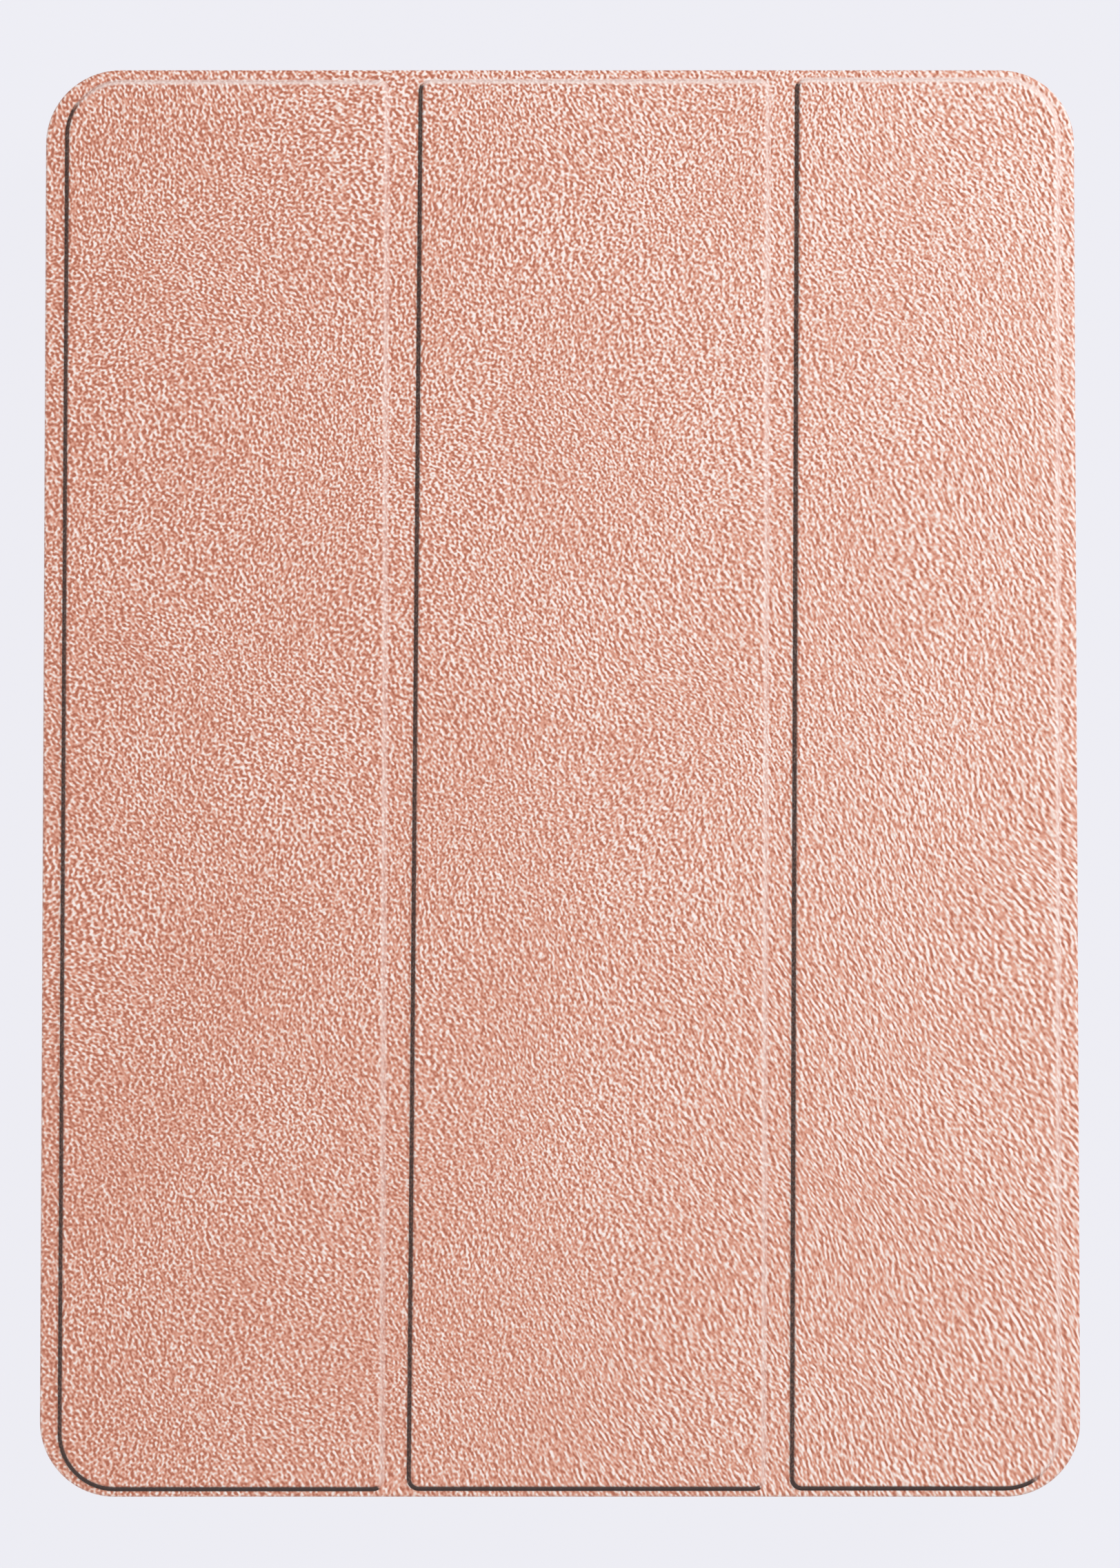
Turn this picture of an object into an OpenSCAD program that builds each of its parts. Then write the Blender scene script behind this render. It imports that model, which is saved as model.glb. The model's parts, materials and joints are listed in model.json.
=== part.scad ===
// Tablet computer closed inside its tri-fold leather folio case.
// It lies on its back: +X to the right, +Y to the tablet's top edge, +Z out of the front cover.
// The origin is the centre of the footprint, on the surface that the case rests on.

/* [Tablet] */
// Width of the tablet
tablet_w = 178.5; // [178:0.1:179]
// Height of the tablet
tablet_h = 247.6; // [246:0.1:248]
// Thickness of the tablet
tablet_t = 6.1; // [6.1:0.1:6.6]
// Corner radius of the tablet
tablet_r = 10.9; // [9:0.1:12]
// Thickness of the housing's side walls
housing_wall = 2.4; // [2.2:0.1:2.6]
// Thickness of the housing's back
housing_back = 1.0; // [0.9:0.1:1.0]
// Thickness of the cover glass
glass_t = 0.7; // [0.6:0.1:0.8]
// Border between the glass edge and the picture
bezel_w = 8.5; // [8:0.5:10]

/* [Buttons and ports] */
// How far a key moves when it is pressed
key_travel = 0.3; // [0.2:0.05:0.3]
// Height of a tablet key
key_h = 2.2; // [1.8:0.1:2.4]
// Length of a volume key
volume_key_len = 12; // [10:0.5:13]
// Length of the power key
power_key_len = 14; // [12:0.5:15]
// Diameter of one speaker hole
speaker_hole_d = 1.1; // [0.8:0.1:1.4]
// Width of the plug's opening in the case
plug_opening_w = 13; // [12.5:0.1:14]
// Height of the plug's opening in the case
plug_opening_h = 5.8; // [5.5:0.1:5.9]

/* [Case] */
// Width of the closed case
case_w = 182.6; // [182.6:0.1:184]
// Height of the front cover
case_h = 252.3; // [251:0.1:254]
// Corner radius of the front cover
cover_r = 13.2; // [12.5:0.1:14]
// Thickness of the hard shell's walls
shell_wall = 1.2; // [1:0.1:1.2]
// Thickness of the hard shell's back
shell_back = 0.9; // [0.8:0.1:1.2]
// Thickness of the shell's lip over the glass edge
lip_t = 0.45; // [0.4:0.05:0.6]
// How far the lip reaches over the glass edge
lip_reach = 0.7; // [0.5:0.1:0.9]

/* [Leather cover] */
// Thickness of the leather on the cover and the spine
leather_t = 0.7; // [0.6:0.1:0.8]
// Thickness of the leather on the back
back_leather_t = 0.6; // [0.5:0.1:0.8]
// Thickness of the soft lining
lining_t = 0.3; // [0.2:0.1:0.4]
// Thickness of the stiffening boards
board_t = 1.0; // [0.8:0.1:1.2]
// Plain border to the left of the raised panels
border_left = 3.7; // [3:0.1:4.5]
// Plain border to the right of the raised panels
border_right = 3.2; // [3:0.1:4.5]
// Plain border above the raised panels
border_top = 2.1; // [1.5:0.1:3]
// Plain border below the raised panels
border_bottom = 1.4; // [1.3:0.1:3]
// Left edge of the middle panel, from the cover's left edge
middle_start = 65.7; // [64:0.1:67]
// Width of the middle panel
middle_w = 62.1; // [60:0.1:63]
// Width of the fold channel beside the inner panel
inner_channel_w = 5.2; // [5:0.1:6]
// Width of the fold channel beside the outer panel
outer_channel_w = 4.9; // [4.8:0.1:6]
// Corner radius of the panels at the cover's corners
pad_corner_r = 9.7; // [8:0.1:11]
// Corner radius of the panels at the folds
pad_fold_r = 1.8; // [1.2:0.1:2.5]

/* [Hidden] */
$fn = 48;
cut = 0.5;              // how far a cutting shape runs past what it cuts
fit_gap = 0.1;          // between the tablet and its shell, and around keys
cover_gap = 0.15;       // between the shell's lip and the closed cover
spine_gap = 0.3;        // between the shell's side and the spine
strip_gap = 0.05;       // between a flexing strip and the stiff pieces beside it
key_gap = 0.3;          // between a key's soft cover and the shell
inside_gap = 0.1;       // between the housing's back and the parts in it
skirt = 0.75;           // stiff leather beside a raised panel
hinge_skirt = 0.9;      // stiff leather between the cover's hinge strip and the inner panel
turn_in = 0.8;          // leather turned in around the lining's edge

rose = "#d9a898";
suede = "#9a9092";
pale_rose = "#e3c2b8";
black = "#17181b";
graphite = "#3a3d42";
alu = "#c8cacf";
gold = "#cfa64a";
green = "#2f5a3c";

// Heights of the layers, from the resting surface up
z_shell = back_leather_t;
z_tablet = z_shell + shell_back + fit_gap;
z_lip = z_tablet + tablet_t + fit_gap;
z_rim = z_lip + lip_t;
z_lining = z_rim + cover_gap;
z_board = z_lining + lining_t;
z_border = z_board + leather_t;
z_pad = z_board + board_t + leather_t;

// Positions across the case
x_left = -case_w / 2;
x_right = case_w / 2;
spine_t = leather_t + lining_t;
x_spine_in = x_left + spine_t;
x_shell = x_spine_in + spine_gap;
shell_w = tablet_w + 2 * (fit_gap + shell_wall);
shell_h = tablet_h + 2 * (fit_gap + shell_wall);
shell_r = tablet_r + fit_gap + shell_wall;
tablet_x = x_shell + shell_w / 2;

// The three raised panels of the cover, each [left, right]
inner_pad = [x_left + border_left, x_left + middle_start - inner_channel_w];
middle_pad = [x_left + middle_start, x_left + middle_start + middle_w];
outer_pad = [middle_pad[1] + outer_channel_w, x_right - border_right];
pad_y = [-case_h / 2 + border_bottom, case_h / 2 - border_top];

// Stiff stretches of the cover, each [left, right], with flexing strips between them
inner_span = [inner_pad[0] - hinge_skirt, inner_pad[1] + skirt];
middle_span = [middle_pad[0] - skirt, middle_pad[1] + skirt];
outer_span = [outer_pad[0] - skirt, x_right];

// The spine's stiff strip
spine_end_gap = 0.5;    // from the end of the spine to where the cover's corner curves
spine_len = case_h - 2 * (cover_r + spine_end_gap);
spine_start = 2.2;      // height of the strip's lower edge
spine_drop = 0.45;      // from the top of the shell down to the strip's upper edge
z_spine = [spine_start, z_rim - spine_drop];

// Heights inside the tablet, from its back face
glass_drop = 0.05;
glass_inset = 1.0;
glass_gap = 0.1;        // round the glass
z_glass = tablet_t - glass_drop - glass_t;
adhesive_t = 0.15;
z_ledge = z_glass - adhesive_t;
panel_t = 1.0;
shield_t = 0.5;
z_panel = z_glass - panel_t;
z_shield = z_panel - shield_t;
z_keys = tablet_t / 2;
z_inside = housing_back + inside_gap;
cell_t = 2.4;
pcb_t = 0.8;
z_pcb = z_inside + 0.2;
z_pcb_top = z_pcb + pcb_t;
flex_t = 0.2;

// Keys, from the tablet's centre
volume_keys = [84, 68];
power_key = 69;
key_pad_extra = [3, 1.2];       // how much longer and higher a key's cover is than the key
key_proud = 0.35;
key_inner = 0.3;                // how far a key reaches past the housing's wall
cover_proud = 0.15;             // how far a key's cover stands out of the shell
switch_depth = 4.2;             // from the tablet's edge to the far side of a key's switch
switch_w = 4;
switch_h = [-1.1, 0.6];

// Sound holes, from the tablet's centre
speaker_x = 41;
speaker_hole_pitch = 2.6;
speaker_holes = 9;
speaker_slot = [26, 2.4];       // length and height of the case's slot
speaker_box = [32, 13.4];       // length and depth of a speaker
speaker_gap = 0.2;              // behind the housing's wall
microphones = [-18, 20];
microphone_hole_d = 1;
microphone_slot = [4, 1.8];
microphone_box = [3, 3];
microphone_gap = 0.1;
microphone_z = [2.1, 3.5];

// Socket for the plug
usb_w = 9;
usb_h = 3.2;
usb_wall = 0.3;
usb_depth = 8;
usb_back = 0.5;
tongue_front = 1;               // from the tablet's edge in to the tongue's tip
tongue_w = 6.6;
tongue_t = 0.7;
plug_opening_r = 1;

// Cameras and lamps, from the tablet's centre
camera = [71.5, 106];
flash = [60.5, 106];
camera_ring_r = 6.4;
camera_ring_t = 1.0;
lens_r = 4.8;
lens_z = [-0.8, -0.3];
lens_gap = 0.05;
lens_ledge = 0.2;               // of the housing, round the camera's hole
barrel_gap = 0.1;
barrel_start = -0.25;
camera_body = 12;
flash_r = 1.7;
window = [24, 17, 8];           // width, height and corner radius of the opening in the case
front_camera_x = [-3, 3];
front_camera_y = [116.2, 121.2];
front_camera_t = 2.4;
light_sensor_x = [11, 14];
light_sensor_y = [117, 120];
light_sensor_t = 1.2;

// Display, boards and cells, from the tablet's centre
picture_r = 2.5;
flex_x = [-9, 9];
flex_y = [-64, -22];
board_x = [-16, 16];
board_y = [-20, 104];
shield_y = [[3, 42], [50, 92]];
shield_inset = 3;
shield_can_t = 1.1;
chips = 3;
chip_start = -10;
chip_w = 5;
chip_pitch = 7.5;
chip_y = [-12, -6];
chip_t = 0.7;
screw_y = 46;                   // the middle pair of screws
screw_inset = [1.5, 2];
screw_r = 0.55;
screw_head_r = 1.1;
screw_head_t = 0.5;
battery_left_x = [-84, -18];
battery_left_y = [-96, 100];
battery_right_x = [18, 80];
battery_right_y = [-96, 94];
battery_board_x = [-12, 12];
battery_board_y = [-92, -68];
battery_board_t = 1.6;

// Magnets that hold the cover shut: in the housing and in the outer panel
magnet_y = [-64, -40, 40, 64];
magnet_len = 14;
housing_magnet_x = [81.5, 85];
cover_magnet_x = [80.5, 85.5];
magnet_t = 0.6;

// ---- Shared shapes ----

// Every x, y and z below is a pair: [from, to]
module block(x, y, z)
    translate([x[0], y[0], z[0]]) cube([x[1] - x[0], y[1] - y[0], z[1] - z[0]]);

module rounded_rect(w, h, r) {
    square([w - 2 * r, h], center = true);
    square([w, h - 2 * r], center = true);
    for (sx = [-1, 1], sy = [-1, 1])
        translate([sx * (w / 2 - r), sy * (h / 2 - r)]) circle(r);
}

module plate(w, h, r, z)
    translate([0, 0, z[0]]) linear_extrude(z[1] - z[0]) rounded_rect(w, h, r);

module disc(r, z)
    translate([0, 0, z[0]]) cylinder(r = r, h = z[1] - z[0]);

// An upright bar whose outline has round ends, across one edge of the tablet
module round_bar(len, height, x)
    translate([x[0], 0, z_keys]) rotate([0, 90, 0]) linear_extrude(x[1] - x[0]) {
        square([height, len - height], center = true);
        for (side = [-1, 1])
            translate([0, side * (len - height) / 2]) circle(height / 2);
    }

module at_tablet()
    translate([tablet_x, 0, z_tablet]) children();

// Puts a shape drawn on the +X side of the origin across an edge of the tablet
module on_edge(edge, along) {
    if (edge == "right")
        translate([tablet_w / 2, along, 0]) children();
    if (edge == "top")
        translate([along, tablet_h / 2, 0]) rotate([0, 0, 90]) children();
    if (edge == "bottom")
        translate([along, -tablet_h / 2, 0]) rotate([0, 0, -90]) children();
}

module at_speakers()
    for (edge = ["top", "bottom"], side = [-1, 1])
        on_edge(edge, side * speaker_x) children();

module at_keys() {
    for (y = volume_keys)
        on_edge("right", y) children(0);
    on_edge("top", power_key) children(1);
}

// ---- Case shell and back ----

module camera_window(z)
    translate([(camera[0] + flash[0]) / 2, camera[1], 0])
        plate(window[0], window[1], window[2], z);

module back_leather() color(rose) at_tablet() difference() {
    plate(shell_w, shell_h, shell_r, [-z_tablet, z_shell - z_tablet]);
    camera_window([-z_tablet - cut, 0]);
}

module case_shell() color(pale_rose) at_tablet() difference() {
    plate(shell_w, shell_h, shell_r, [z_shell - z_tablet, z_rim - z_tablet]);
    plate(tablet_w + 2 * fit_gap, tablet_h + 2 * fit_gap, tablet_r + fit_gap,
        [-fit_gap, tablet_t + fit_gap]);
    plate(tablet_w - 2 * lip_reach, tablet_h - 2 * lip_reach, tablet_r - lip_reach,
        [tablet_t, z_rim - z_tablet + cut]);
    camera_window([-z_tablet, 0]);
    at_keys() {
        key_opening(volume_key_len);
        key_opening(power_key_len);
    }
    at_speakers() round_bar(speaker_slot[0], speaker_slot[1], [0, shell_wall + cut]);
    on_edge("bottom", 0) plug_opening();
    on_edge("top", microphones[0])
        round_bar(microphone_slot[0], microphone_slot[1], [0, shell_wall + cut]);
}

module key_opening(len)
    round_bar(len + key_pad_extra[0] + 2 * key_gap, key_h + key_pad_extra[1] + 2 * key_gap,
        [0, shell_wall + cut]);

module plug_opening()
    translate([0, 0, z_keys]) rotate([0, 90, 0])
        linear_extrude(shell_wall + cut)
            rounded_rect(plug_opening_h, plug_opening_w, plug_opening_r);

// ---- Tablet ----

module rear_housing() color(alu) at_tablet() difference() {
    plate(tablet_w, tablet_h, tablet_r, [0, tablet_t]);
    plate(tablet_w - 2 * housing_wall, tablet_h - 2 * housing_wall, tablet_r - housing_wall,
        [housing_back, tablet_t + cut]);
    plate(tablet_w - 2 * glass_inset, tablet_h - 2 * glass_inset, tablet_r - glass_inset,
        [z_ledge, tablet_t + cut]);
    at_keys() {
        key_slot(volume_key_len);
        key_slot(power_key_len);
    }
    at_speakers() speaker_grille();
    on_edge("bottom", 0)
        round_bar(usb_w + 2 * fit_gap, usb_h + 2 * fit_gap, [-housing_wall - cut, cut]);
    for (x = microphones)
        on_edge("top", x) wall_hole(microphone_hole_d);
    translate(camera) disc(lens_r - lens_ledge, [-cut, z_inside]);
    translate(flash) disc(flash_r + fit_gap, [-cut, z_inside]);
}

module wall_hole(d)
    translate([-housing_wall - cut, 0, z_keys]) rotate([0, 90, 0])
        cylinder(d = d, h = housing_wall + 2 * cut);

module key_slot(len)
    round_bar(len + 2 * fit_gap, key_h + 2 * fit_gap, [-housing_wall - cut, cut]);

module speaker_grille()
    for (i = [0 : speaker_holes - 1])
        translate([0, (i - (speaker_holes - 1) / 2) * speaker_hole_pitch, 0])
            wall_hole(speaker_hole_d);

module glass_plate(z) {
    inset = glass_inset + glass_gap;
    plate(tablet_w - 2 * inset, tablet_h - 2 * inset, tablet_r - inset, z);
}

module cover_glass() color(black) at_tablet() glass_plate([z_glass, z_glass + glass_t]);

module glass_adhesive() color(graphite) at_tablet() difference() {
    glass_plate([z_ledge, z_glass]);
    plate(tablet_w - 2 * housing_wall, tablet_h - 2 * housing_wall, tablet_r - housing_wall,
        [z_ledge - cut, z_glass + cut]);
}

module picture_plate(z)
    plate(tablet_w - 2 * bezel_w, tablet_h - 2 * bezel_w, picture_r, z);

module display_panel() color(graphite) at_tablet() picture_plate([z_panel, z_glass]);

module display_shield() color(alu) at_tablet() picture_plate([z_shield, z_panel]);

module display_flex() color(gold) at_tablet()
    block(flex_x, flex_y, [z_shield - flex_t, z_shield]);

module logic_board() color(green) at_tablet() difference() {
    block(board_x, board_y, [z_pcb, z_pcb_top]);
    at_screws() disc(screw_r + fit_gap, [z_pcb - cut, z_pcb_top + cut]);
}

module board_shields() color(alu) at_tablet()
    for (y = shield_y)
        block([board_x[0] + shield_inset, board_x[1] - shield_inset], y,
            [z_pcb_top, z_pcb_top + shield_can_t]);

module board_chips() color(graphite) at_tablet()
    for (x = [chip_start : chip_pitch : chip_start + (chips - 1) * chip_pitch])
        block([x, x + chip_w], chip_y, [z_pcb_top, z_pcb_top + chip_t]);

module board_screws() color(alu) at_tablet() at_screws() {
    disc(screw_r, [housing_back, z_pcb_top]);
    disc(screw_head_r, [z_pcb_top, z_pcb_top + screw_head_t]);
}

module at_screws()
    for (x = [board_x[0] + screw_inset[0], board_x[1] - screw_inset[0]],
            y = [board_y[0] + screw_inset[1], screw_y, board_y[1] - screw_inset[1]])
        translate([x, y, 0]) children();

module battery_left() color(black) at_tablet()
    block(battery_left_x, battery_left_y, [z_inside, z_inside + cell_t]);

module battery_right() color(black) at_tablet()
    block(battery_right_x, battery_right_y, [z_inside, z_inside + cell_t]);

module battery_board() color(green) at_tablet()
    block(battery_board_x, battery_board_y, [z_inside, z_inside + battery_board_t]);

module front_camera() color(black) at_tablet()
    block(front_camera_x, front_camera_y, [z_glass - front_camera_t, z_glass]);

module light_sensor() color(graphite) at_tablet()
    block(light_sensor_x, light_sensor_y, [z_glass - light_sensor_t, z_glass]);

module rear_camera() color(graphite) at_tablet() translate(camera) {
    side = [-camera_body / 2, camera_body / 2];
    block(side, side, [z_inside, z_shield - inside_gap]);
    disc(lens_r - lens_ledge - barrel_gap, [barrel_start, z_inside]);
}

module camera_ring() color(alu) at_tablet() translate(camera) difference() {
    disc(camera_ring_r, [-camera_ring_t, 0]);
    disc(lens_r + lens_gap, [-camera_ring_t - cut, cut]);
}

module camera_lens() color(black) at_tablet() translate(camera) disc(lens_r, lens_z);

module flash_lamp() color("white") at_tablet() translate(flash) disc(flash_r, [0, z_inside]);

// A box just inside the housing's wall; size is its length along the wall and its depth
module inside_box(gap, size, z)
    block([-housing_wall - gap - size[1], -housing_wall - gap], [-size[0] / 2, size[0] / 2], z);

module speakers() color(graphite) at_tablet() at_speakers()
    inside_box(speaker_gap, speaker_box, [z_inside, z_inside + cell_t]);

module microphone_units() color(gold) at_tablet()
    for (x = microphones)
        on_edge("top", x) inside_box(microphone_gap, microphone_box, microphone_z);

module usb_shell() color(alu) at_tablet() on_edge("bottom", 0) difference() {
    round_bar(usb_w, usb_h, [-usb_depth, 0]);
    round_bar(usb_w - 2 * usb_wall, usb_h - 2 * usb_wall, [usb_back - usb_depth, cut]);
}

module usb_tongue() color(black) at_tablet() on_edge("bottom", 0)
    block([usb_back - usb_depth, -tongue_front], [-tongue_w / 2, tongue_w / 2],
        [z_keys - tongue_t / 2, z_keys + tongue_t / 2]);

// A pressed key just reaches its switch
module key_switch()
    block([-switch_depth, -housing_wall - key_inner - key_travel - fit_gap],
        [-switch_w / 2, switch_w / 2], [z_keys + switch_h[0], z_keys + switch_h[1]]);

module key_switches() color(gold) at_tablet() at_keys() {
    key_switch();
    key_switch();
}

module housing_magnets() color(alu) at_tablet()
    for (y = magnet_y)
        block(housing_magnet_x, [y - magnet_len / 2, y + magnet_len / 2], [z_inside, z_inside + cell_t]);

// ---- Keys and their soft covers ----

module key_bar(len)
    round_bar(len, key_h, [-housing_wall - key_inner, key_proud]);

// A soft cover over one key, which stands a little proud of the shell
module key_cover(len)
    round_bar(len + key_pad_extra[0], key_h + key_pad_extra[1],
        [key_proud, fit_gap + shell_wall + cover_proud]);

module power_key_bar() color(alu) at_tablet() on_edge("top", power_key) key_bar(power_key_len);
module power_key_cover() color(rose) at_tablet() on_edge("top", power_key) key_cover(power_key_len);

module volume_up_bar() color(alu) at_tablet()
    on_edge("right", volume_keys[0]) key_bar(volume_key_len);
module volume_up_cover() color(rose) at_tablet()
    on_edge("right", volume_keys[0]) key_cover(volume_key_len);

module volume_down_bar() color(alu) at_tablet()
    on_edge("right", volume_keys[1]) key_bar(volume_key_len);
module volume_down_cover() color(rose) at_tablet()
    on_edge("right", volume_keys[1]) key_cover(volume_key_len);

// ---- Spine and the strips it flexes by ----

module spine_leather() color(rose)
    block([x_left, x_left + leather_t], [-spine_len / 2, spine_len / 2], z_spine);

module spine_lining() color(suede)
    block([x_left + leather_t, x_spine_in], [-spine_len / 2, spine_len / 2], z_spine);

module back_hinge_strip() color(rose) {
    block([x_left, x_shell - strip_gap], [-spine_len / 2, spine_len / 2], [0, back_leather_t]);
    block([x_left, x_spine_in], [-spine_len / 2, spine_len / 2],
        [back_leather_t, z_spine[0] - strip_gap]);
}

module cover_hinge_strip() color(rose) {
    cover_slab([x_left, inner_span[0] - strip_gap], [z_lining, z_border]);
    block([x_left, x_spine_in], [-spine_len / 2, spine_len / 2],
        [z_spine[1] + strip_gap, z_lining]);
}

// ---- Front cover ----

// A layer of the cover between two X positions, set in from its outline
module cover_slab(x, z, inset = 0) intersection() {
    plate(case_w - 2 * inset, case_h - 2 * inset, cover_r - inset, z);
    block(x, [-case_h, case_h], [z[0] - cut, z[1] + cut]);
}

// A panel's outline; its two ends can have different corner radii
module pad_outline(x, r_left, r_right, inset) {
    far = case_w;
    h = pad_y[1] - pad_y[0] - 2 * inset;
    translate([0, (pad_y[0] + pad_y[1]) / 2]) intersection() {
        translate([(x[0] + inset + far) / 2, 0])
            rounded_rect(far - x[0] - inset, h, r_left - inset);
        translate([(x[1] - inset - far) / 2, 0])
            rounded_rect(x[1] - inset + far, h, r_right - inset);
    }
}

module pad_slab(x, r_left, r_right, z, inset = 0)
    translate([0, 0, z[0]]) linear_extrude(z[1] - z[0]) pad_outline(x, r_left, r_right, inset);

// Leather over one panel: a plain border, a raised pad, and pockets for board and lining
module panel_leather(span, x, r_left, r_right) color(rose) difference() {
    union() {
        cover_slab(span, [z_lining, z_border]);
        pad_slab(x, r_left, r_right, [z_border, z_pad]);
    }
    pad_slab(x, r_left, r_right, [z_board, z_pad - leather_t], leather_t);
    cover_slab([span[0] - cut, span[1] + cut], [z_lining - cut, z_board], turn_in);
}

module panel_board(x, r_left, r_right) color(graphite)
    pad_slab(x, r_left, r_right, [z_board, z_pad - leather_t], leather_t);

module panel_lining(span) color(suede)
    cover_slab(span, [z_lining, z_board], turn_in);

// A strip of leather that flexes between two panels
module fold_strip(left_span, right_span) color(rose)
    cover_slab([left_span[1] + strip_gap, right_span[0] - strip_gap], [z_lining, z_border]);

module inner_leather() panel_leather(inner_span, inner_pad, pad_corner_r, pad_fold_r);
module inner_board() panel_board(inner_pad, pad_corner_r, pad_fold_r);
module inner_lining() panel_lining(inner_span);
module inner_fold_strip() fold_strip(inner_span, middle_span);

module middle_leather() panel_leather(middle_span, middle_pad, pad_fold_r, pad_fold_r);
module middle_board() panel_board(middle_pad, pad_fold_r, pad_fold_r);
module middle_lining() panel_lining(middle_span);
module outer_fold_strip() fold_strip(middle_span, outer_span);

module outer_leather() panel_leather(outer_span, outer_pad, pad_fold_r, pad_corner_r);
module outer_lining() panel_lining(outer_span);

module outer_board() difference() {
    panel_board(outer_pad, pad_fold_r, pad_corner_r);
    color(graphite) magnet_bars([z_board - cut, z_board + magnet_t]);
}

module magnet_bars(z)
    for (y = magnet_y)
        block([tablet_x + cover_magnet_x[0], tablet_x + cover_magnet_x[1]],
            [y - magnet_len / 2, y + magnet_len / 2], z);

module cover_magnets() color(alu) magnet_bars([z_board, z_board + magnet_t]);

// ---- Nodes ----

back_leather();
case_shell();
rear_housing();
cover_glass();
glass_adhesive();
display_panel();
display_shield();
display_flex();
logic_board();
board_shields();
board_chips();
board_screws();
battery_left();
battery_right();
battery_board();
front_camera();
light_sensor();
rear_camera();
camera_ring();
camera_lens();
flash_lamp();
speakers();
microphone_units();
usb_shell();
usb_tongue();
key_switches();
housing_magnets();
power_key_bar();
power_key_cover();
volume_up_bar();
volume_up_cover();
volume_down_bar();
volume_down_cover();
spine_leather();
spine_lining();
back_hinge_strip();
cover_hinge_strip();
inner_leather();
inner_board();
inner_lining();
inner_fold_strip();
middle_leather();
middle_board();
middle_lining();
outer_fold_strip();
outer_leather();
outer_board();
outer_lining();
cover_magnets();
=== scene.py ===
"""Looks for a tablet computer closed inside its tri-fold leather folio case.

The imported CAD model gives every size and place. This script lays an embossed leather skin over the cover,
the spine and the hinges, gives every other part its material, and sets the pale floor, the soft lights and
the camera.
"""

import json
import math

import bmesh
import bpy
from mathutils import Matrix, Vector


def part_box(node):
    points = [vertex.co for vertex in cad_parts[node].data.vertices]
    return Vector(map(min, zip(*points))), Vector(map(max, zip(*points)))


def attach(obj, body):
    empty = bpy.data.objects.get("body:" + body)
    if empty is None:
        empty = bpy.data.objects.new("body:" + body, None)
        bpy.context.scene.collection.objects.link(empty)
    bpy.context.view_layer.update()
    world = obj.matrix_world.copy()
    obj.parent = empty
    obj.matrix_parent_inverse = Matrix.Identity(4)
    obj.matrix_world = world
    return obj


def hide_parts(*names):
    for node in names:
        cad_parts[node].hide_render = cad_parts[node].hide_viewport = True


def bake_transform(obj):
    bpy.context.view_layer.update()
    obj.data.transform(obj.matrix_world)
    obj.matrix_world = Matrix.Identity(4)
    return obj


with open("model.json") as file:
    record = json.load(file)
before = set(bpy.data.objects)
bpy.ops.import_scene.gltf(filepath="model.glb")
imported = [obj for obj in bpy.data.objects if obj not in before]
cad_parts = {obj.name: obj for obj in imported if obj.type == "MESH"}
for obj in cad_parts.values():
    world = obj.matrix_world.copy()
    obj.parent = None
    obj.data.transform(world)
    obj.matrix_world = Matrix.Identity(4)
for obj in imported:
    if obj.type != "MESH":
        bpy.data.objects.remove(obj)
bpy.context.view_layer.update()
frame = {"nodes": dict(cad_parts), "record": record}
nodes = frame["nodes"]

MM = 0.001


# ---- Sizes, worked out from the CAD nodes ----

def low(node):
    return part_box(node)[0]


def high(node):
    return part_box(node)[1]


cover_left, cover_right = low("cover_hinge_strip").x, high("outer_leather").x
cover_bottom, cover_top = low("inner_leather").y, high("inner_leather").y
z_under = low("inner_leather").z                      # underside of the cover
z_border = high("inner_fold_strip").z                 # top of its plain borders and channels
z_pad = high("inner_leather").z                       # top of its raised panels
leather = z_pad - high("inner_board").z
pad_bottom, pad_top = low("inner_board").y - leather, high("inner_board").y + leather
z_mid = (z_under + z_border) / 2

COVER_R = 13.2 * MM
PAD_CORNER_R = 9.7 * MM
PAD_FOLD_R = 1.8 * MM
COVER_CORNER_STEPS = 24
PAD_CORNER_STEPS = 14

# How far a wall faces up and to the right (1 is straight there) where each painted tone starts and where it is
# full:
# the painted shade on walls facing away from the light, the painted highlight on walls facing it
SHADE_FACING = (-0.03, -0.36)
HIGHLIGHT_FACING = (-0.25, 0.35)
LOWER_SHADE_GAIN = 0.3                               # how much stronger the painted shade is along a lower edge
RIM_HIGHLIGHT_FACING = (0.8, -0.8)                              # the same for the painted highlight on the cover's rim, on its normal's X plus Y: full where the rim faces down-left, into shade

FOLD_TRIM = 0.18                                      # share of a fold left stiff at each side
FOLD_SLICES = 8
SPINE_STEPS = 6
BACK_HINGE_GAP = 0.1 * MM                             # how far the bend stays in from the spine's skin

# How far the top end of a panel's edge leans to the right of its middle: the leather was laid by hand
LEANS = {
    "inner": (0.14 * MM, 0.27 * MM),
    "middle": (0.90 * MM, 0.66 * MM),
    "outer": (0.73 * MM, 0.50 * MM),
}

# How far a panel's top edge and bottom edge sit above where the CAD has them
RISES = {
    "inner": (0.0, 0.0),
    "middle": (0.14 * MM, 0.06 * MM),
    "outer": (0.40 * MM, 0.12 * MM),
}

# A raised panel's edge: distance out from its outline, height over the border as a share of the step,
# how dark the painted shade is where the wall faces down-left, away from the light, and how bright the painted
# highlight is where it faces up-right
PAD_EDGE = [
    (-1.50, 1.00, 0.0, 0.0),
    (-0.90, 1.00, 0.0, 0.0),
    (-0.66, 0.98, 0.0, 0.4),
    (-0.42, 0.91, 0.3, 0.9),
    (-0.30, 0.82, 0.9, 1.0),
    (-0.20, 0.70, 1.0, 0.9),
    (-0.06, 0.46, 1.0, 0.8),
    (0.08, 0.22, 1.0, 0.7),
    (0.22, 0.05, 1.0, 0.6),
    (0.38, 0.00, 0.9, 0.2),
    (0.46, 0.00, 0.0, 0.0),
]
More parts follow.
